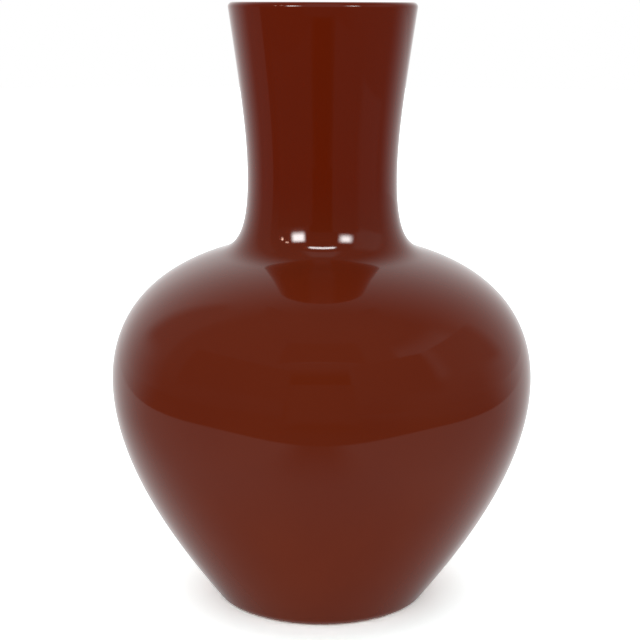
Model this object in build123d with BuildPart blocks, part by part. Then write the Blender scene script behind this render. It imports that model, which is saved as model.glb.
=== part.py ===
from build123d import *

import os
from math import cos, radians, sin

# A tall vase of glazed brown stoneware, thrown in sections that are luted together with slip.
# All lengths are in millimetres and all angles in degrees. The vase stands on the XY plane, round
# about the Z axis. Half sections are drawn with x as the radius and y as the height.

# Outside of the glaze: the places where the outline passes from one curve to the next
HEIGHT = 400.0
FOOT_RADIUS = 72.0
BELLY_RADIUS = 141.6
BELLY_HEIGHT = 151.3
SHOULDER_RADIUS = 72.6
SHOULDER_HEIGHT = 236.0
WAIST_RADIUS = 49.6
WAIST_HEIGHT = 287.3
MOUTH_RADIUS = 61.5

# Lean of the wall from upright at those places: outwards is positive, inwards is negative
FLANK_LEAN = 36.5
SHOULDER_LEAN = -71.8
FLARE_LEAN = 8.2
UPRIGHT = 0.0

# Fullness of the curve at each end of a stretch, as a share of the way between its ends
FLANK_FULLNESS = (0.24, 0.35)
SHOULDER_FULLNESS = (0.293, 0.524)
ROOT_FULLNESS = (0.234, 0.777)
FLARE_FULLNESS = (0.251, 0.498)

# Thrown wall and floor
FOOT_WALL = 8.0
LIP_WALL = 4.8
FLOOR = 9.0
FLOOR_FILLET = 22.0

# Foot ring
FOOT_HEIGHT = 10.0
FOOT_WIDTH = 10.0
FOOT_BEVEL = 0.6

# Glaze: its thickness, the bare clay left above the foot's bevel, and the way it goes down inside the lip
GLAZE = 0.7
BARE_MARGIN = 0.4
LIP_WRAP = 9.0

# Luted joints: the slip layer, and the low ridge that each lower piece puts into the groove above it
LUTE = 0.8
RIDGE_HEIGHT = 1.8
RIDGE_WIDTH = 2.6

# Points taken along each stretch of the outline to draw the layers of the wall
STATIONS = 12


def upward(lean):
    """Direction up a wall that leans outwards by this angle."""
    return Vector(sin(radians(lean)), cos(radians(lean)))


def outward(lean):
    """Direction straight out of a wall that leans outwards by this angle."""
    return Vector(cos(radians(lean)), -sin(radians(lean)))


def stretch(start, start_lean, end, end_lean, fullness):
    """Control points of the curve from one place of the outline to the next."""
    way = (end - start).length
    leaving = upward(start_lean) * way * fullness[0]
    reaching = upward(end_lean) * way * fullness[1]
    return start, start + leaving, end - reaching, end


# Outline of the glazed outside, from below the foot to where the half-round lip begins
lip_radius = LIP_WALL / 2 + GLAZE
lip_centre = Vector(MOUTH_RADIUS - lip_radius, HEIGHT - lip_radius)
foot = Vector(FOOT_RADIUS, 0)
belly = Vector(BELLY_RADIUS, BELLY_HEIGHT)
shoulder = Vector(SHOULDER_RADIUS, SHOULDER_HEIGHT)
waist = Vector(WAIST_RADIUS, WAIST_HEIGHT)
lip = lip_centre + outward(FLARE_LEAN) * lip_radius

# The wall's layers are drawn on below the table, twice as far as the wall is thick, and cut off level later
run_out = 2 * (FOOT_WALL + 2 * GLAZE)

with BuildLine() as outline:
    below_foot = Line(foot - upward(FLANK_LEAN) * run_out, foot)
    flank_curve = Bezier(*stretch(foot, FLANK_LEAN, belly, UPRIGHT, FLANK_FULLNESS))
    shoulder_curve = Bezier(*stretch(belly, UPRIGHT, shoulder, SHOULDER_LEAN, SHOULDER_FULLNESS))
    root_curve = Bezier(*stretch(shoulder, SHOULDER_LEAN, waist, UPRIGHT, ROOT_FULLNESS))
    flare_curve = Bezier(*stretch(waist, UPRIGHT, lip, FLARE_LEAN, FLARE_FULLNESS))


def wall_at(height):
    """Thickness of the thrown wall, which thins evenly from the foot to the lip."""
    return FOOT_WALL + (LIP_WALL - FOOT_WALL) * height / lip.Y


def layer(glaze_coats, wall_share):
    """Line under the outline, this many glaze coats and this share of the clay wall deep."""
    points = []
    for curve in (below_foot, flank_curve, shoulder_curve, root_curve, flare_curve):
        for station in range(STATIONS):
            points.append(under(curve, station / STATIONS, glaze_coats, wall_share))
    points.append(under(flare_curve, 1, glaze_coats, wall_share))
    return points


def under(curve, along, glaze_coats, wall_share):
    """Point of a layer under one place of a curve of the outline."""
    place = curve.position_at(along)
    rise = curve.tangent_at(along)
    inward = Vector(-rise.Y, rise.X)
    return place + inward * (glaze_coats * GLAZE + wall_share * wall_at(place.Y))


skin = layer(glaze_coats=0, wall_share=0)
clay_outside = layer(glaze_coats=1, wall_share=0)
clay_middle = layer(glaze_coats=1, wall_share=0.5)
clay_inside = layer(glaze_coats=1, wall_share=1)
lining = layer(glaze_coats=2, wall_share=1)

# Heights and radii that neighbouring pieces share
foot_inner = FOOT_RADIUS - FOOT_WIDTH
underside = FOOT_HEIGHT + LUTE
floor_top = underside + FLOOR
glaze_line = FOOT_BEVEL + BARE_MARGIN
wrap_end = HEIGHT - LIP_WRAP
foot_middle = FOOT_RADIUS - FOOT_WIDTH / 2
belly_middle = BELLY_RADIUS - GLAZE - wall_at(BELLY_HEIGHT) / 2
waist_middle = WAIST_RADIUS - GLAZE - wall_at(WAIST_HEIGHT) / 2

# Everything lies inside this radius and below this height
beyond = 2 * max(BELLY_RADIUS, FOOT_RADIUS, MOUTH_RADIUS)
above = 2 * HEIGHT


def level(height):
    """Level line across the half section."""
    return [(0, height), (beyond, height)]


def joint(height, middle):
    """Line across a luted joint: level, with the ridge at the middle of the wall."""
    return [
        (0, height),
        (middle - RIDGE_WIDTH / 2, height),
        (middle, height + RIDGE_HEIGHT),
        (middle + RIDGE_WIDTH / 2, height),
        (beyond, height),
    ]


def between(lower, upper):
    """Corners of the region between two lines across the half section."""
    return lower + upper[::-1]


foot_joint = joint(FOOT_HEIGHT, foot_middle)
foot_joint_top = joint(underside, foot_middle)
belly_joint = joint(BELLY_HEIGHT, belly_middle)
belly_joint_top = joint(BELLY_HEIGHT + LUTE, belly_middle)
neck_joint = joint(WAIST_HEIGHT, waist_middle)
neck_joint_top = joint(WAIST_HEIGHT + LUTE, waist_middle)

# Half section of everything inside the clay's outer face, for the pieces of the foot
with BuildSketch() as filled_clay:
    with BuildLine():
        Spline(*clay_outside)
        Polyline(
            clay_outside[-1],
            (0, clay_outside[-1].Y),
            (0, clay_outside[0].Y),
            clay_outside[0],
        )
    make_face()

# Half section of everything inside the middle of the wall
with BuildSketch() as core:
    with BuildLine():
        Spline(*clay_middle)
        Polyline(
            clay_middle[-1],
            (0, clay_middle[-1].Y),
            (0, clay_middle[0].Y),
            clay_middle[0],
        )
    make_face()

# Half section of the floor, out to the middle of the wall
with BuildSketch() as clay_floor:
    add(core.sketch)
    with BuildLine():
        Polyline(*between(level(underside), level(floor_top)), close=True)
    make_face(mode=Mode.INTERSECT)

# Half section of the clay wall with its half-round lip, and the floor
with BuildSketch() as clay:
    with BuildLine():
        Spline(*clay_outside)
        ThreePointArc(clay_outside[-1], lip_centre + Vector(0, LIP_WALL / 2), clay_inside[-1])
        Spline(*clay_inside)
        Line(clay_inside[0], clay_outside[0])
    make_face()
    add(clay_floor.sketch)

# Half section of the floor with its coat of glaze
with BuildSketch() as glazed_floor:
    add(core.sketch)
    with BuildLine():
        Polyline(*between(level(underside), level(floor_top + GLAZE)), close=True)
    make_face(mode=Mode.INTERSECT)

# Half section of the glaze on the wall, over the lip and on the floor
with BuildSketch() as glaze:
    with BuildLine():
        Spline(*skin)
        ThreePointArc(skin[-1], lip_centre + Vector(0, lip_radius), lining[-1])
        Spline(*lining)
        Line(lining[0], skin[0])
    make_face()
    add(glazed_floor.sketch)
    add(clay.sketch, mode=Mode.SUBTRACT)

# Half section of everything inside the middle of the wall, up to the end of the lip's wrap
with BuildSketch() as inside:
    add(core.sketch)
    with BuildLine():
        Polyline(*between(level(wrap_end), level(above)), close=True)
    make_face(mode=Mode.SUBTRACT)


os.makedirs("parts", exist_ok=True)

# Foot ring: stands on the table, bevelled at both edges of its standing face
with BuildPart() as foot_ring:
    with BuildSketch(Plane.XZ):
        add(filled_clay.sketch)
        with BuildLine():
            Polyline(*between(level(0), foot_joint), close=True)
        make_face(mode=Mode.INTERSECT)
        with BuildLine():
            Polyline((0, 0), (foot_inner, 0), (foot_inner, above), (0, above), close=True)
        make_face(mode=Mode.SUBTRACT)
    revolve(axis=Axis.Z)
    chamfer(foot_ring.edges().filter_by(GeomType.CIRCLE).group_by(Axis.Z)[0], FOOT_BEVEL)
foot_ring.part.label = "foot_ring"
export_step(foot_ring.part, "parts/foot_ring.step")

# Slip between the foot ring and the body
with BuildPart() as foot_lute:
    with BuildSketch(Plane.XZ):
        add(filled_clay.sketch)
        with BuildLine():
            Polyline(*between(foot_joint, foot_joint_top), close=True)
        make_face(mode=Mode.INTERSECT)
        with BuildLine():
            Polyline((0, 0), (foot_inner, 0), (foot_inner, above), (0, above), close=True)
        make_face(mode=Mode.SUBTRACT)
    revolve(axis=Axis.Z)
foot_lute.part.label = "foot_lute"
export_step(foot_lute.part, "parts/foot_lute.step")

# Lower body: the thrown bowl with the floor, rounded inside where the floor meets the wall
with BuildPart() as lower_body:
    with BuildSketch(Plane.XZ):
        add(clay.sketch)
        with BuildLine():
            Polyline(*between(foot_joint_top, belly_joint), close=True)
        make_face(mode=Mode.INTERSECT)
    revolve(axis=Axis.Z)
    floor_face = lower_body.faces().filter_by(Plane.XY).group_by(Axis.Z)[1][0]
    fillet(floor_face.outer_wire().edges(), FLOOR_FILLET)
lower_body.part.label = "lower_body"
export_step(lower_body.part, "parts/lower_body.step")

# Slip at the widest line of the belly
with BuildPart() as belly_lute:
    with BuildSketch(Plane.XZ):
        add(clay.sketch)
        with BuildLine():
            Polyline(*between(belly_joint, belly_joint_top), close=True)
        make_face(mode=Mode.INTERSECT)
    revolve(axis=Axis.Z)
belly_lute.part.label = "belly_lute"
export_step(belly_lute.part, "parts/belly_lute.step")

# Upper body: the shoulder, closed in to a collar at the waist
with BuildPart() as upper_body:
    with BuildSketch(Plane.XZ):
        add(clay.sketch)
        with BuildLine():
            Polyline(*between(belly_joint_top, neck_joint), close=True)
        make_face(mode=Mode.INTERSECT)
    revolve(axis=Axis.Z)
upper_body.part.label = "upper_body"
export_step(upper_body.part, "parts/upper_body.step")

# Slip on the collar
with BuildPart() as neck_lute:
    with BuildSketch(Plane.XZ):
        add(clay.sketch)
        with BuildLine():
            Polyline(*between(neck_joint, neck_joint_top), close=True)
        make_face(mode=Mode.INTERSECT)
    revolve(axis=Axis.Z)
neck_lute.part.label = "neck_lute"
export_step(neck_lute.part, "parts/neck_lute.step")

# Neck: flares from the collar to the half-round lip
with BuildPart() as neck:
    with BuildSketch(Plane.XZ):
        add(clay.sketch)
        with BuildLine():
            Polyline(*between(neck_joint_top, level(above)), close=True)
        make_face(mode=Mode.INTERSECT)
    revolve(axis=Axis.Z)
neck.part.label = "neck"
export_step(neck.part, "parts/neck.step")

# Outer glaze: from just above the foot's bevel, over the lip and down to the end of the wrap
with BuildPart() as outer_glaze:
    with BuildSketch(Plane.XZ):
        add(glaze.sketch)
        add(inside.sketch, mode=Mode.SUBTRACT)
        with BuildLine():
            Polyline(*between(level(glaze_line), level(above)), close=True)
        make_face(mode=Mode.INTERSECT)
    revolve(axis=Axis.Z)
outer_glaze.part.label = "outer_glaze"
export_step(outer_glaze.part, "parts/outer_glaze.step")

# Inner glaze: the lining from the end of the wrap down to the floor
with BuildPart() as inner_glaze:
    with BuildSketch(Plane.XZ):
        add(glaze.sketch)
        add(inside.sketch, mode=Mode.INTERSECT)
        with BuildLine():
            Polyline(*between(level(floor_top), level(above)), close=True)
        make_face(mode=Mode.INTERSECT)
    revolve(axis=Axis.Z)
    floor_faces = inner_glaze.faces().filter_by(Plane.XY).sort_by(Axis.Z)
    fillet(floor_faces[0].outer_wire().edges(), FLOOR_FILLET)
    floor_faces = inner_glaze.faces().filter_by(Plane.XY).sort_by(Axis.Z)
    fillet(floor_faces[1].outer_wire().edges(), FLOOR_FILLET - GLAZE)
inner_glaze.part.label = "inner_glaze"
export_step(inner_glaze.part, "parts/inner_glaze.step")

# Base glaze: coats the recess under the floor and the inside of the foot ring
with BuildPart() as base_glaze:
    with BuildSketch(Plane.XZ):
        with BuildLine():
            Polyline(
                (0, underside),
                (foot_inner, underside),
                (foot_inner, glaze_line),
                (foot_inner - GLAZE, glaze_line),
                (foot_inner - GLAZE, underside - GLAZE),
                (0, underside - GLAZE),
                close=True,
            )
        make_face()
    revolve(axis=Axis.Z)
base_glaze.part.label = "base_glaze"
export_step(base_glaze.part, "parts/base_glaze.step")
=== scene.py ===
# %% [markdown]
# A flared-neck vase in glazed brown stoneware
#
# The vase was built as solids first: a foot ring, a thrown bowl, a shoulder and a neck, stuck together
# with slip and coated with glaze. This lesson loads those solids as a fixed frame and gives the vase its
# looks. Everything is in metres, the vase stands on the XY plane, and Z is its own axis.

from math import atan, cos, pi, radians, sin, tan

import bmesh
import bpy
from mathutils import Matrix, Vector


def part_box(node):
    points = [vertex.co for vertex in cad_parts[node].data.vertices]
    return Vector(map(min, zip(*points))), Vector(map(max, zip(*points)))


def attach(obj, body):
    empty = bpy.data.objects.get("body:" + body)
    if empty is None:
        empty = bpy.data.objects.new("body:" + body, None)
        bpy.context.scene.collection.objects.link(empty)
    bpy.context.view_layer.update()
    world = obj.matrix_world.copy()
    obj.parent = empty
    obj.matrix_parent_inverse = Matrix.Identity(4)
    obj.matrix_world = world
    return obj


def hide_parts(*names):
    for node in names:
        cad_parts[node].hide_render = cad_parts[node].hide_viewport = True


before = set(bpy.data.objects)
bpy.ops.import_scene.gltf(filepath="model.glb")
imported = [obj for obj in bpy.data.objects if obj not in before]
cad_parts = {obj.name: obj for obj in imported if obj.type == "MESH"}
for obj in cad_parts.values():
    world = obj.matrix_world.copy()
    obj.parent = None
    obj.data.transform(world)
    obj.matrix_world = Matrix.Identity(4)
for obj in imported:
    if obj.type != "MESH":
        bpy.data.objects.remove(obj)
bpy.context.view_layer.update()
print("solids:", ", ".join(sorted(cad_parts)))

# %% [markdown]
# The camera
#
# The picture that the vase is matched to was taken from about a metre away, level with the lip, with a
# long lens tilted down. A long lens keeps the neck from looking wider than the foot. The camera could be
# aimed by a constraint, but plain angles are easier to match to a picture. It also hangs a little out of
# level, which is set as a small roll.

# %% Set up the camera
CAMERA_PLACE = Vector((-0.0019, -0.9564, 0.400))
TILT_DOWN = radians(12.41)
ROLL = radians(-0.18)
LENS_MM = 81.32

camera_data = bpy.data.cameras.new("product_camera")
camera_data.lens = LENS_MM
camera = bpy.data.objects.new("product_camera", camera_data)
camera.location = CAMERA_PLACE
camera.rotation_euler = (pi / 2 - TILT_DOWN, ROLL, 0)
bpy.context.scene.collection.objects.link(camera)
bpy.context.scene.camera = camera
bpy.context.scene.view_settings.view_transform = "Standard"
print("camera", round(CAMERA_PLACE.length, 3), "m from the foot's centre")

# %% [markdown]
# The outline of the vase
#
# A thrown pot is a line turned about an axis, so the whole vase starts as one line. It could be drawn as
# many short straight pieces, but a Bezier line needs a knot only where one curve passes into the next:
# foot, belly, shoulder, waist and lip. At each knot the wall has a lean from upright, and the fullness
# says how far the curve keeps to that lean, as a share of the way to the next knot.

# %% Name the sizes of the outline
FOOT_RADIUS = 0.072
BELLY_RADIUS = 0.1416
SHOULDER_RADIUS = 0.0726
SHOULDER_HEIGHT = 0.236
WAIST_RADIUS = 0.0496
MOUTH_RADIUS = 0.0615
HEIGHT = 0.400

FLANK_LEAN = 36.5
SHOULDER_LEAN = -71.8
FLARE_LEAN = 8.2
UPRIGHT = 0.0

FLANK_FULLNESS = (0.24, 0.35)
SHOULDER_FULLNESS = (0.293, 0.524)
ROOT_FULLNESS = (0.234, 0.777)
FLARE_FULLNESS = (0.251, 0.498)

FOOT_WALL = 0.008
LIP_WALL = 0.0048
GLAZE = 0.0007

# The heights where one piece ends and the next begins come from the solids
belly_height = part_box("belly_lute")[0].z
waist_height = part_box("neck_lute")[0].z
glaze_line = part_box("outer_glaze")[0].z
wrap_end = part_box("inner_glaze")[1].z
print("belly line at", round(belly_height, 4), "and waist line at", round(waist_height, 4))


# %% Helpers for knots and curves
def upward(lean):
    """Direction up a wall that leans outwards by this angle, as (radius, height)."""
    return Vector((sin(radians(lean)), cos(radians(lean))))


def outward(lean):
    """Direction straight out of a wall that leans outwards by this angle."""
    return Vector((cos(radians(lean)), -sin(radians(lean))))


def stretch(start, start_lean, end, end_lean, fullness):
    """One curve between two knots, as its start, its two handles and its end."""
    way = (end - start).length
    leaving = upward(start_lean) * way * fullness[0]
    reaching = upward(end_lean) * way * fullness[1]
    return start, start + leaving, end - reaching, end


def straight(start, end):
    """A straight stretch between two knots."""
    return start, start.lerp(end, 1 / 3), start.lerp(end, 2 / 3), end


def quarter_round(centre, start, end):
    """A quarter of a circle from start to end, seen from its centre."""
    reach = 4 / 3 * tan(pi / 8)
    return start, start + (end - centre) * reach, end + (start - centre) * reach, end


# %% Helpers that draw a line and turn it
STEPS_PER_STRETCH = 28
STEPS_AROUND = 200
SAME_POINT = 1e-6


def drawn_line(stretches):
    """A new bmesh with the edges of a line that runs through these stretches, in the XZ plane."""
    curve = bpy.data.curves.new("outline", "CURVE")
    curve.dimensions = "3D"
    curve.resolution_u = STEPS_PER_STRETCH
    spline = curve.splines.new("BEZIER")
    spline.bezier_points.add(len(stretches))
    for knot in spline.bezier_points:
        knot.handle_left_type = "FREE"
        knot.handle_right_type = "FREE"
    for number, (start, first, second, end) in enumerate(stretches):
        knot = spline.bezier_points[number]
        after = spline.bezier_points[number + 1]
        knot.co = (start.x, 0, start.y)
        knot.handle_right = (first.x, 0, first.y)
        after.handle_left = (second.x, 0, second.y)
        after.co = (end.x, 0, end.y)
    holder = bpy.data.objects.new("outline", curve)
    mesh = bpy.data.meshes.new_from_object(holder)
    line = bmesh.new()
    line.from_mesh(mesh)
    bpy.data.objects.remove(holder)
    bpy.data.curves.remove(curve)
    bpy.data.meshes.remove(mesh)
    return line


def turned(line):
    """The line spun once round the axis into a skin whose faces point outwards."""
    everything = line.verts[:] + line.edges[:]
    bmesh.ops.spin(
        line,
        geom=everything,
        cent=(0, 0, 0),
        axis=(0, 0, 1),
        angle=2 * pi,
        steps=STEPS_AROUND,
        use_merge=True,
    )
    bmesh.ops.remove_doubles(line, verts=line.verts[:], dist=SAME_POINT)
    bmesh.ops.recalc_face_normals(line, faces=line.faces[:])
    return line


# %% Lay out the knots of the outline
lip_radius = LIP_WALL / 2 + GLAZE
lip_centre = Vector((MOUTH_RADIUS - lip_radius, HEIGHT - lip_radius))
foot = Vector((FOOT_RADIUS, 0))
belly = Vector((BELLY_RADIUS, belly_height))
shoulder = Vector((SHOULDER_RADIUS, SHOULDER_HEIGHT))
waist = Vector((WAIST_RADIUS, waist_height))
lip = lip_centre + outward(FLARE_LEAN) * lip_radius
lip_crest = lip_centre + upward(FLARE_LEAN) * lip_radius
lip_inside = lip_centre - outward(FLARE_LEAN) * lip_radius

outline = [
    stretch(foot, FLANK_LEAN, belly, UPRIGHT, FLANK_FULLNESS),
    stretch(belly, UPRIGHT, shoulder, SHOULDER_LEAN, SHOULDER_FULLNESS),
    stretch(shoulder, SHOULDER_LEAN, waist, UPRIGHT, ROOT_FULLNESS),
    stretch(waist, UPRIGHT, lip, FLARE_LEAN, FLARE_FULLNESS),
]


def wall_at(height):
    """Thickness of the thrown wall, which thins evenly from the foot to the lip."""
    return FOOT_WALL + (LIP_WALL - FOOT_WALL) * height / lip.y


print("outline of", len(outline), "curves, lip", round(2 * lip_radius * 1000, 1), "mm thick")

# %% [markdown]
# Turning a skin into a piece
#
# Glaze is a thin coat, so each coat is made as a skin first and then given its thickness towards the
# inside. A Solidify modifier could do that too, but in the bmesh the new edges can still be rounded. After
# that the mesh is closed, and its volume tells whether the faces point the right way.


# %% Helpers that finish a piece
NEAR = 1e-5


def cut_level(skin, height, keep_above):
    """Cuts a skin off level and keeps one side of the cut."""
    bmesh.ops.bisect_plane(
        skin,
        geom=skin.verts[:] + skin.edges[:] + skin.faces[:],
        plane_co=(0, 0, height),
        plane_no=(0, 0, 1),
        clear_inner=keep_above,
        clear_outer=not keep_above,
    )


def coat(skin, thickness):
    """Gives a skin its thickness, towards the side that its faces point away from."""
    bmesh.ops.solidify(skin, geom=skin.faces[:], thickness=thickness)


def rim_edges(shell, height):
    """Edges of a shell that lie level at this height."""
    return [e for e in shell.edges if all(abs(v.co.z - height) < NEAR for v in e.verts)]


def finished(name, shell, node):
    """Makes a closed bmesh an object that stands for a solid and rides on the vase."""
    open_edges = sum(not e.is_manifold for e in shell.edges)
    volume = shell.calc_volume(signed=True)
    for face in shell.faces:
        face.smooth = True
    mesh = bpy.data.meshes.new(name)
    shell.to_mesh(mesh)
    shell.free()
    piece = bpy.data.objects.new(name, mesh)
    bpy.context.scene.collection.objects.link(piece)
    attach(piece, "root")
    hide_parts(node)
    print(name, len(mesh.polygons), "faces,", open_edges, "open edges,", round(volume * 1e6, 2), "cm3")
    return piece


# %% [markdown]
# The glaze outside
#
# The outer coat runs from just above the table, up the whole outside, over the half-round lip and a
# little way down inside. It could be copied from the solid, but a solid arrives as loose triangles, and a
# skin that is turned anew has smooth, even faces. Its lower edge is rounded, because melted glaze draws
# itself into a soft roll where it stops.

# %% Make the outer glaze
GLAZE_ROLL = 0.0003

wrap_foot = lip_inside - upward(FLARE_LEAN) * (lip_inside.y - wrap_end) / cos(radians(FLARE_LEAN))
over_the_lip = [
    quarter_round(lip_centre, lip, lip_crest),
    quarter_round(lip_centre, lip_crest, lip_inside),
    straight(lip_inside, wrap_foot),
]
outer_skin = turned(drawn_line(outline + over_the_lip))
cut_level(outer_skin, glaze_line, keep_above=True)
coat(outer_skin, GLAZE)
bmesh.ops.bevel(
    outer_skin,
    geom=rim_edges(outer_skin, glaze_line),
    offset=GLAZE_ROLL,
    offset_type="OFFSET",
    affect="EDGES",
    segments=3,
    profile=0.5,
    material=-1,
)
glaze_outside = finished("glaze_outside", outer_skin, "outer_glaze")

# %% [markdown]
# The glaze inside
#
# The lining follows the inside of the clay, which is the outline pushed in by the thickness of the wall.
# It could have a line of its own, but then a change outside would leave it behind. The wall is thicker at
# the foot than at the lip, so each point is pushed along its own normal by the wall's thickness at its
# height. The floor is a second line, with a round where it meets the wall.

# %% Push the outline in
FLOOR_FILLET = 0.022

floor_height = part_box("inner_glaze")[0].z
bend = radians(90 - FLANK_LEAN)
fillet_reach = FLOOR_FILLET * tan(bend / 2)
fillet_handle = FLOOR_FILLET * 4 / 3 * tan(bend / 4)
fillet_top = floor_height + fillet_reach * cos(radians(FLANK_LEAN))

lining = turned(drawn_line(outline))
lining.normal_update()
for vert in lining.verts:
    vert.co -= vert.normal * (GLAZE + wall_at(vert.co.z))
cut_level(lining, fillet_top, keep_above=True)
cut_level(lining, wrap_end, keep_above=False)
print("wall inside with", len(lining.faces), "faces")

# %% Add the floor and make the inner glaze
SEAM_GAP = 2e-5

wall_radius = max(vert.co.x for vert in lining.verts if vert.co.z < fillet_top + NEAR)
wall_end = Vector((wall_radius, fillet_top))
floor_edge = wall_end - upward(FLANK_LEAN) * fillet_reach - Vector((fillet_reach, 0))
floor_middle = Vector((0, floor_height))
rounding = (
    wall_end,
    wall_end - upward(FLANK_LEAN) * fillet_handle,
    floor_edge + Vector((fillet_handle, 0)),
    floor_edge,
)
floor_skin = turned(drawn_line([rounding, straight(floor_edge, floor_middle)]))
floor_mesh = bpy.data.meshes.new("floor_skin")
floor_skin.to_mesh(floor_mesh)
floor_skin.free()
lining.from_mesh(floor_mesh)
bpy.data.meshes.remove(floor_mesh)
bmesh.ops.remove_doubles(lining, verts=lining.verts[:], dist=SEAM_GAP)
bmesh.ops.recalc_face_normals(lining, faces=lining.faces[:])
widest = max(lining.faces, key=lambda face: face.calc_center_median().x)
if widest.normal.x < 0:
    bmesh.ops.reverse_faces(lining, faces=lining.faces[:])
coat(lining, GLAZE)
glaze_inside = finished("glaze_inside", lining, "inner_glaze")

# %% [markdown]
# The glaze under the foot
#
# The recess inside the foot ring is a shallow cup, upside down. It could be turned like the other two, but
# a filled circle for its flat, with the rim drawn down for its wall, takes fewer steps. The corner is
# rounded, as glaze pools there.

# %% Make the base glaze
CORNER_ROUND = 0.0025

recess_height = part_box("base_glaze")[1].z
recess_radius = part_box("base_glaze")[1].x

recess = bmesh.new()
bmesh.ops.create_circle(recess, cap_ends=True, segments=STEPS_AROUND, radius=recess_radius)
bmesh.ops.translate(recess, verts=recess.verts[:], vec=(0, 0, recess_height))
made = bmesh.ops.extrude_edge_only(recess, edges=recess.edges[:])
lower = [part for part in made["geom"] if isinstance(part, bmesh.types.BMVert)]
bmesh.ops.translate(recess, verts=lower, vec=(0, 0, glaze_line - recess_height))
bmesh.ops.bevel(
    recess,
    geom=rim_edges(recess, recess_height),
    offset=CORNER_ROUND,
    offset_type="OFFSET",
    affect="EDGES",
    segments=6,
    profile=0.5,
    material=-1,
)
bmesh.ops.poke(recess, faces=[f for f in recess.faces if len(f.verts) > 4])
bmesh.ops.recalc_face_normals(recess, faces=recess.faces[:])
coat(recess, GLAZE)
glaze_underfoot = finished("glaze_underfoot", recess, "base_glaze")

# %% [markdown]
# Building materials from nodes
#
# A finish could be a painted picture, but one that is worked out by nodes needs no unwrapping, has no seam
# and stays sharp close up. A few short helpers keep the node trees readable.


# %% Helpers that place nodes
def add_node(tree, kind, **settings):
    """A node of this kind with these settings."""
    made_node = tree.nodes.new(kind)
    for name, value in settings.items():
        setattr(made_node, name, value)
    return made_node


def feed(tree, source, target):
    """Links an output to an input, or sets the input to a plain value."""
    if isinstance(source, bpy.types.NodeSocket):
        tree.links.new(source, target)
    else:
        target.default_value = source


def maths(tree, operation, first, second):
    """Output of a Math node."""
    made_node = add_node(tree, "ShaderNodeMath", operation=operation)
    feed(tree, first, made_node.inputs[0])
    feed(tree, second, made_node.inputs[1])
    return made_node.outputs[0]


def ranged(tree, value, low, high, to_low=0.0, to_high=1.0):
    """Output that goes softly from to_low to to_high as the value goes from low to high."""
    made_node = add_node(tree, "ShaderNodeMapRange", interpolation_type="SMOOTHSTEP")
    feed(tree, value, made_node.inputs["Value"])
    made_node.inputs["From Min"].default_value = low
    made_node.inputs["From Max"].default_value = high
    made_node.inputs["To Min"].default_value = to_low
    made_node.inputs["To Max"].default_value = to_high
    return made_node.outputs[0]


# %% Helpers that measure and mix
def place_on(tree):
    """The place of a point, in metres, split into X, Y and Z."""
    split = add_node(tree, "ShaderNodeSeparateXYZ")
    tree.links.new(add_node(tree, "ShaderNodeTexCoord").outputs["Object"], split.inputs[0])
    return split.outputs


def distance(tree, first, second):
    """Length of the diagonal of two sides."""
    first_square = maths(tree, "MULTIPLY", first, first)
    second_square = maths(tree, "MULTIPLY", second, second)
    return maths(tree, "POWER", maths(tree, "ADD", first_square, second_square), 0.5)


def blended(tree, share, first, second):
    """Output of two colours mixed by a share from 0 to 1."""
    made_node = add_node(tree, "ShaderNodeMix", data_type="RGBA")
    feed(tree, share, made_node.inputs[0])
    feed(tree, first, made_node.inputs[6])
    feed(tree, second, made_node.inputs[7])
    return made_node.outputs[2]


def noise(tree, place, scale, detail):
    """Output of a noise from 0 to 1, with this many lumps to the metre."""
    made_node = add_node(tree, "ShaderNodeTexNoise")
    feed(tree, place, made_node.inputs["Vector"])
    feed(tree, scale, made_node.inputs["Scale"])
    feed(tree, detail, made_node.inputs["Detail"])
    return made_node.outputs[0]


# %% [markdown]
# What the kiln does to every surface
#
# Fired clay, slip and glaze all show the same two things at different sizes: a slow drift of tone from
# uneven heat, and fine specks where iron in the clay comes through. One node group makes both as masks,
# and each material mixes them into its own colours.

# %% Make the group for fired tone
DRIFT_DETAIL = 3.0
DRIFT_RANGE = (0.3, 0.7)
GRAIN_DETAIL = 2.0
SPECK_LEVEL = 0.75
SPECK_BLUR = 0.1

fired_tone = bpy.data.node_groups.new("fired_tone", "ShaderNodeTree")
for socket in ("Drift Scale", "Speck Scale", "Speck Share"):
    fired_tone.interface.new_socket(socket, in_out="INPUT", socket_type="NodeSocketFloat")
for socket in ("Drift", "Specks", "Grain"):
    fired_tone.interface.new_socket(socket, in_out="OUTPUT", socket_type="NodeSocketFloat")

tone_in = add_node(fired_tone, "NodeGroupInput")
tone_out = add_node(fired_tone, "NodeGroupOutput")
place = add_node(fired_tone, "ShaderNodeTexCoord").outputs["Object"]
drift = noise(fired_tone, place, tone_in.outputs["Drift Scale"], DRIFT_DETAIL)
grain = noise(fired_tone, place, tone_in.outputs["Speck Scale"], GRAIN_DETAIL)
hidden = maths(fired_tone, "SUBTRACT", SPECK_LEVEL, tone_in.outputs["Speck Share"])
shown = maths(fired_tone, "SUBTRACT", grain, hidden)
feed(fired_tone, ranged(fired_tone, drift, *DRIFT_RANGE), tone_out.inputs["Drift"])
feed(fired_tone, ranged(fired_tone, shown, 0.0, SPECK_BLUR), tone_out.inputs["Specks"])
feed(fired_tone, grain, tone_out.inputs["Grain"])
print("group fired_tone with", len(fired_tone.nodes), "nodes")


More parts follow.
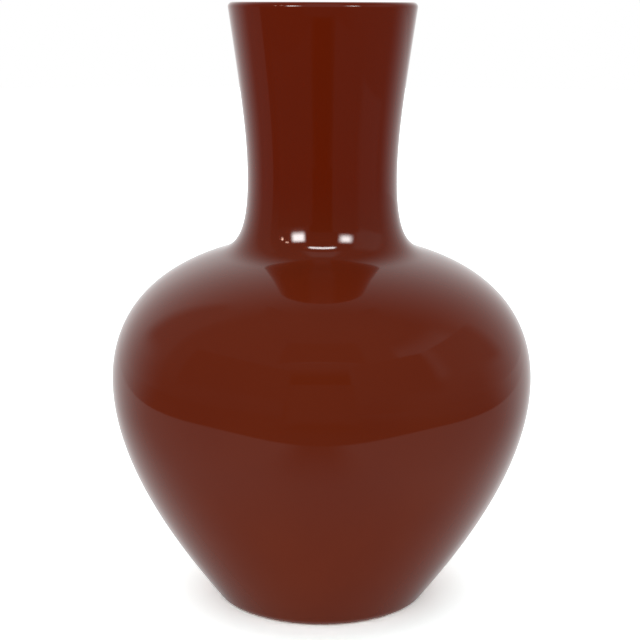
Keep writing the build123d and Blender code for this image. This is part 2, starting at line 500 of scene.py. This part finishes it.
# %% Helper that starts a fired material
def fired_material(name, drift_scale, speck_scale, speck_share):
    """A new material, its Principled BSDF and the masks of the fired tone."""
    material = bpy.data.materials.new(name)
    material.use_nodes = True
    tree = material.node_tree
    tree.nodes.clear()
    surface = add_node(tree, "ShaderNodeBsdfPrincipled")
    output = add_node(tree, "ShaderNodeOutputMaterial")
    tree.links.new(surface.outputs["BSDF"], output.inputs["Surface"])
    tone = add_node(tree, "ShaderNodeGroup", node_tree=fired_tone)
    tone.inputs["Drift Scale"].default_value = drift_scale
    tone.inputs["Speck Scale"].default_value = speck_scale
    tone.inputs["Speck Share"].default_value = speck_share
    return material, tree, surface, tone


def raised(tree, surface, height, metres):
    """Puts a height of this many metres on the surface's normal."""
    bump = add_node(tree, "ShaderNodeBump")
    bump.inputs["Distance"].default_value = metres
    feed(tree, height, bump.inputs["Height"])
    tree.links.new(bump.outputs["Normal"], surface.inputs["Normal"])


# %% [markdown]
# The glaze
#
# An iron glaze is a layer of brown glass. It is deep red-brown on the neck, and warmer where it thins over
# the rim, where a lighter crest is in part a painted highlight. Towards the foot it is painted lighter, as
# painted light for the light from below on the low flank. It could be a matt base under a coat layer, but
# one glossy surface mirrors the same and is easier to tune. Its index of refraction is that of glass, and
# its roughness is low. The surface is never quite level: the faintest waves keep its reflections alive.

# %% Make the glaze
NECK_BROWN = (0.1166, 0.0092, 0.0006, 1)
BODY_BROWN = (0.1183, 0.0146, 0.0034, 1)
# Painted light: the low flank's brown is lighter, standing in for light from below
PAINTED_LIGHT_FLANK_BROWN = (0.142, 0.0190, 0.0040, 1)
DEEP_BROWN = (0.100, 0.0085, 0.0011, 1)
# Warmer where the glaze thins over the rim, and in part a painted highlight on its crest
THIN_AND_HIGHLIGHT_BROWN = (0.165, 0.030, 0.010, 1)
GLAZE_IOR = 1.5
GLAZE_ROUGHNESS = (0.045, 0.065)
FLANK_HEIGHTS = (0.03, 0.16)
RIM_THINNING_AND_HIGHLIGHT = 0.0012
DRIFT_SHARE = 0.25
SPECK_SHARE = 0.2
RIM_SHARE = 0.5
WAVES_TO_A_METRE = 45.0
WAVE_DETAIL = 1.0
WAVE_HEIGHT = 0.000012

glaze, tree, surface, tone = fired_material(
    "brown_glaze",
    drift_scale=14.0,
    speck_scale=900.0,
    speck_share=0.12,
)
drifting = tone.outputs["Drift"]
height = place_on(tree)["Z"]
# Painted light: the lighter flank brown fades out up the belly
on_body = ranged(tree, height, *FLANK_HEIGHTS)
colour = blended(tree, on_body, PAINTED_LIGHT_FLANK_BROWN, BODY_BROWN)
on_neck = ranged(tree, height, SHOULDER_HEIGHT, waist_height)
colour = blended(tree, on_neck, colour, NECK_BROWN)
colour = blended(tree, maths(tree, "MULTIPLY", drifting, DRIFT_SHARE), colour, DEEP_BROWN)
colour = blended(tree, maths(tree, "MULTIPLY", tone.outputs["Specks"], SPECK_SHARE), colour, DEEP_BROWN)
# The rim's crest: thinner glaze, and in part a painted highlight
on_rim = ranged(tree, height, HEIGHT - RIM_THINNING_AND_HIGHLIGHT, HEIGHT)
colour = blended(tree, maths(tree, "MULTIPLY", on_rim, RIM_SHARE), colour, THIN_AND_HIGHLIGHT_BROWN)
feed(tree, colour, surface.inputs["Base Color"])
feed(tree, ranged(tree, drifting, 0.0, 1.0, *GLAZE_ROUGHNESS), surface.inputs["Roughness"])
surface.inputs["IOR"].default_value = GLAZE_IOR
glaze_place = add_node(tree, "ShaderNodeTexCoord").outputs["Object"]
waves = noise(tree, glaze_place, WAVES_TO_A_METRE, WAVE_DETAIL)
raised(tree, surface, waves, WAVE_HEIGHT)
print("glaze with", len(tree.nodes), "nodes")

# %% [markdown]
# The bare clay and the slip
#
# The stoneware under the glaze shows only on the ring that the vase stands on. It is a red-brown, painted
# darker than the clay alone as painted shade in the gap under the glaze, with darker specks of iron and a
# dry, sandy face. The slip in the joints is the same clay, finer, so one function makes both. The sand
# could be modelled, but grains this fine show well enough as bump.

# %% Make the clay and the slip
# Painted shade: both clay tones are darker than the clay alone, so the bare ring reads as shade under the
# glaze
CLAY_AND_SHADE_BROWN = (0.110, 0.045, 0.026, 1)
CLAY_AND_SHADE_PALE = (0.150, 0.068, 0.040, 1)
IRON_SPECK = (0.040, 0.018, 0.013, 1)
SLIP_BROWN = (0.135, 0.060, 0.036, 1)
SLIP_PALE = (0.170, 0.080, 0.050, 1)
DRY_ROUGHNESS = 0.85


def dry_material(name, body, pale, speck_share, sand):
    """Bare fired clay: two tones that drift, iron specks and a sandy face."""
    material, tree, surface, tone = fired_material(
        name,
        drift_scale=60.0,
        speck_scale=1500.0,
        speck_share=speck_share,
    )
    colour = blended(tree, tone.outputs["Drift"], body, pale)
    colour = blended(tree, tone.outputs["Specks"], colour, IRON_SPECK)
    feed(tree, colour, surface.inputs["Base Color"])
    surface.inputs["Roughness"].default_value = DRY_ROUGHNESS
    raised(tree, surface, tone.outputs["Grain"], sand)
    return material


# The clay's darkness is in part painted shade at the foot
clay = dry_material("bare_stoneware", CLAY_AND_SHADE_BROWN, CLAY_AND_SHADE_PALE, speck_share=0.12, sand=0.00025)
slip = dry_material("fired_slip", SLIP_BROWN, SLIP_PALE, speck_share=0.05, sand=0.0001)
print("materials:", glaze.name, clay.name, slip.name)

# %% Give every piece its material
CLAY_NODES = ("foot_ring", "lower_body", "upper_body", "neck")
SLIP_NODES = ("foot_lute", "belly_lute", "neck_lute")


def finish_with(piece, material):
    """The piece wears this one material."""
    piece.data.materials.clear()
    piece.data.materials.append(material)


glazes = (glaze_outside, glaze_inside, glaze_underfoot)
for piece in glazes:
    finish_with(piece, glaze)
for node_name in CLAY_NODES:
    finish_with(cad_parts[node_name], clay)
for node_name in SLIP_NODES:
    finish_with(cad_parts[node_name], slip)
print("finished", len(glazes) + len(CLAY_NODES) + len(SLIP_NODES), "pieces")

# %% [markdown]
# The white studio
#
# A plain white world lights the vase evenly from all around, at a level where a colour comes out as it is
# written. A bent sheet of paper could stand behind the vase, but a level floor as white as the world does
# without it. To the camera and in reflections the floor is burnt out to white, like paper under strong
# light, so it can't be told from the world behind it and only the deep shadow by the foot is left on it.
# Close in front of the foot it is painted brighter still, a painted pool of light, so that the shadow
# there stays thin. The light that it throws back up at the vase stays at the plain level, and part of it
# is a glow of the floor's own.

# %% Make the white world
world = bpy.data.worlds.new("white_studio")
world.use_nodes = True
world.cycles.sampling_method = "NONE"
background = world.node_tree.nodes["Background"]
background.inputs["Color"].default_value = (1, 1, 1, 1)
background.inputs["Strength"].default_value = 1.0
bpy.context.scene.world = world
print("world", world.name)


# %% Helpers for the stage
def stage_object(name, shape):
    """Makes a bmesh an object of the stage, which isn't part of the vase."""
    mesh = bpy.data.meshes.new(name)
    shape.to_mesh(mesh)
    shape.free()
    prop = bpy.data.objects.new(name, mesh)
    bpy.context.scene.collection.objects.link(prop)
    return prop


def stage_material(name):
    """A new material with an empty node tree and its output."""
    material = bpy.data.materials.new(name)
    material.use_nodes = True
    material.node_tree.nodes.clear()
    output = add_node(material.node_tree, "ShaderNodeOutputMaterial")
    return material, material.node_tree, output


def disc(radius, height):
    """A new bmesh with a level disc about the axis."""
    shape = bmesh.new()
    bmesh.ops.create_circle(shape, cap_ends=True, segments=96, radius=radius)
    bmesh.ops.translate(shape, verts=shape.verts[:], vec=(0, 0, height))
    return shape


# %% Make the floor
FLOOR_RADIUS = 6.0
FLOOR_DROP = 0.0001
FLOOR_BURNT = (1.85, 2.0, 2.0, 1)
# A painted pool of light on the floor just in front of the foot
FLOOR_BRIGHT = (2.2, 2.35, 2.35, 1)
BRIGHT_WAY = radians(10)
BRIGHT_FACING = (0.5, 1.0)
BRIGHT_REACH = 1.25 * FOOT_RADIUS
FLOOR_MATT = 0.44
# Part of the light that the floor throws back up is a glow of its own
FLOOR_GLOW = 0.56

floor = stage_object("floor", disc(FLOOR_RADIUS, -FLOOR_DROP))
floor_white, tree, output = stage_material("floor_white")
rays = add_node(tree, "ShaderNodeLightPath").outputs
seen = maths(tree, "ADD", rays["Is Camera Ray"], rays["Is Glossy Ray"])
seen = maths(tree, "ADD", seen, rays["Is Transmission Ray"])
burnt = add_node(tree, "ShaderNodeBsdfDiffuse")
x, y, _ = place_on(tree)
from_axis = distance(tree, x, y)
across = maths(tree, "MULTIPLY", x, sin(BRIGHT_WAY))
inwards = maths(tree, "MULTIPLY", y, cos(BRIGHT_WAY))
along = maths(tree, "SUBTRACT", across, inwards)
in_front = ranged(tree, maths(tree, "DIVIDE", along, from_axis), *BRIGHT_FACING)
by_the_foot = ranged(tree, from_axis, BRIGHT_REACH, FOOT_RADIUS)
bright = maths(tree, "MULTIPLY", in_front, by_the_foot)
feed(tree, blended(tree, bright, FLOOR_BURNT, FLOOR_BRIGHT), burnt.inputs["Color"])
matt = add_node(tree, "ShaderNodeBsdfDiffuse")
matt.inputs["Color"].default_value = (FLOOR_MATT, FLOOR_MATT, FLOOR_MATT, 1)
glow = add_node(tree, "ShaderNodeEmission")
glow.inputs["Strength"].default_value = FLOOR_GLOW
plain = add_node(tree, "ShaderNodeAddShader")
tree.links.new(matt.outputs[0], plain.inputs[0])
tree.links.new(glow.outputs[0], plain.inputs[1])
either = add_node(tree, "ShaderNodeMixShader")
tree.links.new(seen, either.inputs[0])
tree.links.new(plain.outputs[0], either.inputs[1])
tree.links.new(burnt.outputs[0], either.inputs[2])
tree.links.new(either.outputs[0], output.inputs["Surface"])
floor.data.materials.append(floor_white)
print("floor", FLOOR_RADIUS, "m in radius")

# %% [markdown]
# Two soft lamps
#
# A world that is white all round has no direction. Two weak area lamps, one overhead and one on the left,
# give the light a side. A sun lamp could do that too, but its shadow is harder. The lamps aren't mirrored
# in the glaze, because cards stand for the lights there.


# %% Hang two soft lamps
def soft_lamp(name, place, size, watts):
    """A square lamp that looks at the middle of the vase and isn't mirrored by it."""
    data = bpy.data.lights.new(name, "AREA")
    data.size = size
    data.energy = watts
    lamp = bpy.data.objects.new(name, data)
    lamp.location = place
    lamp.rotation_euler = (Vector((0, 0, HEIGHT / 2)) - place).to_track_quat("-Z", "Y").to_euler()
    lamp.visible_glossy = False
    lamp.visible_camera = False
    bpy.context.scene.collection.objects.link(lamp)


soft_lamp("lamp_overhead", Vector((0, -0.1, 1.7)), size=1.2, watts=2.0)
soft_lamp("lamp_left", Vector((-1.3, -0.9, 0.9)), size=1.0, watts=2.0)
print("two soft lamps")

# %% [markdown]
# What the glaze mirrors
#
# A glossy pot shows the room it stands in, so the room is part of its look. Cards that only mirrored light
# can see stand round the vase, as a photographer puts boards round a glossy pot. Lamps could make the same
# highlights, but they would change the light on the colours as well. A card may have soft edges, where it
# turns clear and shows what is behind it.


# %% Helpers for the mirrored cards
PLAIN_WHITE = (1, 1, 1, 1)


def mirrored_only(prop, material):
    """The card glows in reflections and nowhere else."""
    prop.data.materials.append(material)
    prop.visible_camera = False
    prop.visible_diffuse = False
    prop.visible_transmission = False
    prop.visible_volume_scatter = False
    prop.visible_shadow = False
    material.cycles.emission_sampling = "NONE"


def glowing(name, light, cover=1.0, tint=PLAIN_WHITE):
    """A material that glows by light and is clear where cover is 0.

    Both are numbers, or functions that make them in the material's tree.
    """
    material, tree, output = stage_material(name)
    emission = add_node(tree, "ShaderNodeEmission")
    emission.inputs["Color"].default_value = tint
    feed(tree, light(tree) if callable(light) else light, emission.inputs["Strength"])
    clear = add_node(tree, "ShaderNodeBsdfTransparent")
    card = add_node(tree, "ShaderNodeMixShader")
    feed(tree, cover(tree) if callable(cover) else cover, card.inputs[0])
    tree.links.new(clear.outputs[0], card.inputs[1])
    tree.links.new(emission.outputs[0], card.inputs[2])
    tree.links.new(card.outputs[0], output.inputs["Surface"])
    return material


# %% [markdown]
# The room is white behind the vase and dim in front of it, where the wall grows lighter upwards. A picture
# of a room could be wrapped round the world, but a sphere with a few ramps is easier to fit.

# %% Make the room
ROOM_RADIUS = 3.0
FRONT_DIM = 0.065
WALL_GREY = 0.12
BACK_WHITE = 1.15
BACK_SPREAD = 1.5
RIGHT_LIFT = 0.05
BACK_TO_LEFT = 0.14
BRIGHTEST = 1.05
WALL_RISE = (sin(radians(-10)), sin(radians(25)))
RIGHT_RISE = (0.5, 1.0)


def room_light(tree):
    """White behind the vase, dim in front, grey higher up and a little lighter on the right."""
    x, y, z = place_on(tree)
    rising = maths(tree, "DIVIDE", z, ROOM_RADIUS)
    walls = ranged(tree, rising, *WALL_RISE, FRONT_DIM, WALL_GREY)
    behind = maths(tree, "MAXIMUM", maths(tree, "DIVIDE", y, ROOM_RADIUS), 0.0)
    back = maths(tree, "MULTIPLY", maths(tree, "POWER", behind, BACK_SPREAD), BACK_WHITE)
    sideways = maths(tree, "DIVIDE", x, ROOM_RADIUS)
    uneven = maths(tree, "SUBTRACT", 1.0, maths(tree, "MULTIPLY", sideways, BACK_TO_LEFT))
    back = maths(tree, "MULTIPLY", back, uneven)
    right = ranged(tree, sideways, *RIGHT_RISE, 0.0, RIGHT_LIFT)
    lit = maths(tree, "ADD", maths(tree, "ADD", walls, back), right)
    return maths(tree, "MINIMUM", lit, BRIGHTEST)


room_shape = bmesh.new()
bmesh.ops.create_uvsphere(room_shape, u_segments=64, v_segments=32, radius=ROOM_RADIUS)
mirrored_only(stage_object("mirrored_room", room_shape), glowing("room_glow", room_light))
print("room", ROOM_RADIUS, "m in radius")

# %% [markdown]
# The table is grey in front of the vase, darkest by the foot and in the shade of the camera, and turns
# white round the sides towards the back. Its front edge makes the curved line across the belly. Past that
# edge it is darkest in the middle. A thin glow on it, where the foot touches it in front, lights the foot.
# The floor could be mirrored instead, but the camera has to see it white where the glaze shows grey.

# %% Name the tones of the mirrored table
EDGE_FRONT = 0.467
EDGE_ROUND = 0.85
EDGE_BLUR = 0.01
SHADED_GREY = 0.12
FRONT_GREY = 0.33
TABLE_WHITE = 1.03
PAST_THE_EDGE = 0.06
CAMERA_SHADE = 0.6
FAR_SHADE = 0.75
CONTACT_GLOW = 0.3
CAMERA_SIDEWAYS = 0.015
CONTACT_FACING = (-0.5, -0.95)
WHITE_NEAR = 0.56
NEAR_EVENNESS = 0.9
EDGE_POWER = 4.0

# Where each tone begins and ends, in metres: away from the axis, to the side or along the view
GREY_REACH = (0.06, 0.27)
CONTACT_REACH = (FOOT_RADIUS + 0.0030, FOOT_RADIUS + 0.0004)
WHITE_REACH = (0.05, 0.5)
SHADE_ASIDE = (0.14, 0.03)
SHADE_ALONG = (-0.15, -0.45)
FAR_ASIDE = (0.4, 0.15)
FAR_ALONG = (-0.45, -1.1)
LIFT_ASIDE = (0.3, 1.2)
print("table edge", EDGE_FRONT, "m in front of the axis")


# %% Make the mirrored table
def table_light(tree):
    """Grey in front, white behind, darker by the foot and dim past the front edge."""
    x, y, _ = place_on(tree)
    from_axis = distance(tree, x, y)
    front = ranged(tree, from_axis, *GREY_REACH, SHADED_GREY, FRONT_GREY)
    aside = maths(tree, "ABSOLUTE", maths(tree, "ADD", x, CAMERA_SIDEWAYS), 0.0)
    in_shade = maths(tree, "MULTIPLY", ranged(tree, aside, *SHADE_ASIDE), ranged(tree, y, *SHADE_ALONG))
    shade = maths(tree, "SUBTRACT", 1.0, maths(tree, "MULTIPLY", in_shade, CAMERA_SHADE))
    front = maths(tree, "MULTIPLY", front, shade)
    contact = ranged(tree, from_axis, *CONTACT_REACH, 0.0, CONTACT_GLOW)
    facing = ranged(tree, maths(tree, "DIVIDE", y, from_axis), *CONTACT_FACING)
    front = maths(tree, "ADD", front, maths(tree, "MULTIPLY", contact, facing))
    bowed = maths(tree, "ABSOLUTE", maths(tree, "DIVIDE", x, EDGE_ROUND), 0.0)
    reach = maths(tree, "SUBTRACT", maths(tree, "POWER", bowed, EDGE_POWER), y)
    on_table = ranged(tree, reach, EDGE_FRONT + EDGE_BLUR, EDGE_FRONT - EDGE_BLUR)
    past = ranged(tree, x, *LIFT_ASIDE, PAST_THE_EDGE, PAST_THE_EDGE + RIGHT_LIFT)
    in_middle = maths(tree, "MULTIPLY", ranged(tree, aside, *FAR_ASIDE), ranged(tree, y, *FAR_ALONG))
    left_over = maths(tree, "SUBTRACT", 1.0, maths(tree, "MULTIPLY", in_middle, FAR_SHADE))
    past = maths(tree, "MULTIPLY", past, left_over)
    front = maths(tree, "MAXIMUM", maths(tree, "MULTIPLY", front, on_table), past)
    nearness = ranged(tree, from_axis, *WHITE_REACH, WHITE_NEAR, 0.0)
    slope = maths(tree, "SUBTRACT", 1.0, maths(tree, "MULTIPLY", nearness, NEAR_EVENNESS))
    towards_back = maths(tree, "MULTIPLY", maths(tree, "DIVIDE", y, from_axis), slope)
    share = ranged(tree, maths(tree, "ADD", towards_back, nearness), 0.0, 1.0)
    rest = maths(tree, "SUBTRACT", TABLE_WHITE, front)
    return maths(tree, "ADD", front, maths(tree, "MULTIPLY", share, rest))


mirrored_only(
    stage_object("mirrored_table", disc(ROOM_RADIUS, -FLOOR_DROP / 2)),
    glowing("table_glow", table_light),
)
print("table", ROOM_RADIUS, "m in radius")

# %% [markdown]
# The lights that show as highlights are two soft boxes, a strip above them and two small warm bulbs on the
# left, where a faint glow lies under the box too. The root of the neck mirrors all of them, and the belly
# mirrors none, because dim flags stand between: some that the root looks over, and one in the middle under
# the strip. A small level flag keeps the light of the lip card off the shoulder.
#
# Other panels fill the room: a dark one where the camera is, a narrow grey wall on the left, a pale wall
# with a pale board on the right, and a small card over the lip, which keeps the strip off the lip and
# shines on the root.
#
# All of them are placed by the angles at which the root sees them. A panel glows on one side only, like a
# lamp, and is clear from behind.

# %% Helpers for the mirrored panels
ROOT_PLACE = Vector((0, -0.045, 0.255))


def band(tree, angle, limits, soft):
    """1 between two limits of an angle, in degrees, with soft ends, and 0 outside them."""
    low, high = (radians(limit) for limit in limits)
    starts = ranged(tree, angle, low, low + radians(soft[0]))
    ends = ranged(tree, angle, high, high - radians(soft[1]))
    return maths(tree, "MULTIPLY", starts, ends)


def panel(name, around, above, light, soft, away, slope=None, level_edges=False, tint=PLAIN_WHITE):
    """A panel that fills these angles, in degrees, as the root sees it, and glows towards the root.

    It lies in a plane this far away from the root. The plane faces the root unless it is given a slope,
    where 90 is upright and 180 is level. The panel's edges fade over the soft angles: left, right, below
    and above. With level edges, the angles above are those at its middle.
    """
    middle = radians(sum(around) / 2)
    lean = radians(90 + sum(above) / 2 if slope is None else slope)

    def corner(turn, lift):
        """Where the root sees the plane in this direction."""
        turn, lift = radians(turn), radians(lift)
        if level_edges:
            lift = atan(tan(lift) * cos(turn))
        aim = Vector((sin(turn) * cos(lift), -cos(turn) * cos(lift), sin(lift)))
        towards = sin(lean) * cos(lift) * cos(turn - middle) - cos(lean) * sin(lift)
        return ROOT_PLACE + aim * away / towards

    def cover(tree):
        """Full in the middle, clear at the edges and from behind."""
        x, y, z = place_on(tree)
        ahead = maths(tree, "SUBTRACT", ROOT_PLACE.y, y)
        higher = maths(tree, "SUBTRACT", z, ROOT_PLACE.z)
        turn = maths(tree, "ARCTAN2", x, ahead)
        lift = maths(tree, "ARCTAN2", higher, ahead if level_edges else distance(tree, x, ahead))
        between_sides = band(tree, turn, around, soft[:2])
        filled = maths(tree, "MULTIPLY", between_sides, band(tree, lift, above, soft[2:]))
        behind = add_node(tree, "ShaderNodeNewGeometry").outputs["Backfacing"]
        return maths(tree, "MULTIPLY", filled, maths(tree, "SUBTRACT", 1.0, behind))

    left, right = around
    below, over = above
    shape = bmesh.new()
    corners = (corner(right, below), corner(left, below), corner(left, over), corner(right, over))
    shape.faces.new([shape.verts.new(place) for place in corners])
    mirrored_only(stage_object(name, shape), glowing(name + "_glow", light, cover, tint))


# %% Hang the mirrored panels
LIGHTS_AWAY = 2.5
GLOW_AWAY = 2.55
PALE_WALL_AWAY = 2.0
PALE_BOARD_AWAY = 1.9
CAMERA_AWAY = 1.5
FLAGS_AWAY = 0.23
GREY_WALL_AWAY = 0.215
FAR_FLAG_AWAY = 0.2
LIP_CARD_AWAY = 0.097
LEVEL_FLAG_AWAY = 0.015
LIP_CARD_SLOPE = 86
LEVEL_SLOPE = 180
BULB_WARM = (1, 0.62, 0.48, 1)

# Each has its angles around and above, its light, its soft edges and its distance
panel("soft_box_left", (-48.9, -23.0), (15.0, 34.1), 23.0, (8.5, 7.4, 7.4, 8), LIGHTS_AWAY)
panel("soft_box_right", (21.6, 49.7), (17.6, 35.6), 21.5, (12, 12, 8, 8.6), LIGHTS_AWAY)
panel("box_glow_left", (-49.0, -24.0), (11.5, 24.0), 1.4, (9, 9, 9, 6), GLOW_AWAY)
panel("strip_light", (-24.7, 24.7), (42.0, 50.3), 20.0, (7, 7.7, 4, 4), LIGHTS_AWAY, level_edges=True)
panel("bulb_high", (-63.2, -58.8), (20.8, 27.4), 33.0, (2, 2, 5, 2), LIGHTS_AWAY, tint=BULB_WARM)
panel("bulb_low", (-57.4, -50.8), (28.6, 33.0), 17.0, (2, 2, 2, 2), LIGHTS_AWAY, tint=BULB_WARM)
panel("pale_board", (46.0, 68.0), (26.0, 46.0), 0.28, (10, 12, 9, 10), PALE_BOARD_AWAY)
panel("pale_wall", (47.0, 104.0), (9.0, 52.0), 0.34, (8, 16, 8, 16), PALE_WALL_AWAY)
panel("camera_side", (-20.0, 17.0), (-28.0, 38.0), 0.02, (2, 2, 3, 13), CAMERA_AWAY)
panel("grey_wall", (-110.0, -83.0), (-10.0, 50.0), 0.19, (12, 0.4, 10, 12), GREY_WALL_AWAY)
panel("flag_left", (-74.0, -14.0), (-18.0, 12.5), 0.075, (4, 4, 6, 0.6), FLAGS_AWAY)
panel("flag_right", (14.0, 62.0), (-18.0, 16.0), 0.10, (4, 8, 6, 0.6), FLAGS_AWAY)
panel("flag_far_right", (54.0, 100.0), (-18.0, 12.0), 0.17, (12, 12, 6, 0.6), FAR_FLAG_AWAY)
panel("flag_low", (-18.0, 18.0), (-32.0, -2.0), 0.075, (4, 4, 6, 1), FLAGS_AWAY)
panel("flag_middle", (-26.0, 26.0), (16.4, 40.0), 0.08, (3, 3, 0.6, 1), FLAGS_AWAY)
panel("flag_shoulder", (-50.0, 50.0), (6.0, 13.5), 0.125, (8, 8, 0.2, 0.6), LEVEL_FLAG_AWAY, LEVEL_SLOPE)
panel("lip_card", (-44.0, 44.0), (45.0, 80.0), 0.40, (20, 20, 2.5, 8), LIP_CARD_AWAY, LIP_CARD_SLOPE)
print("seventeen panels")
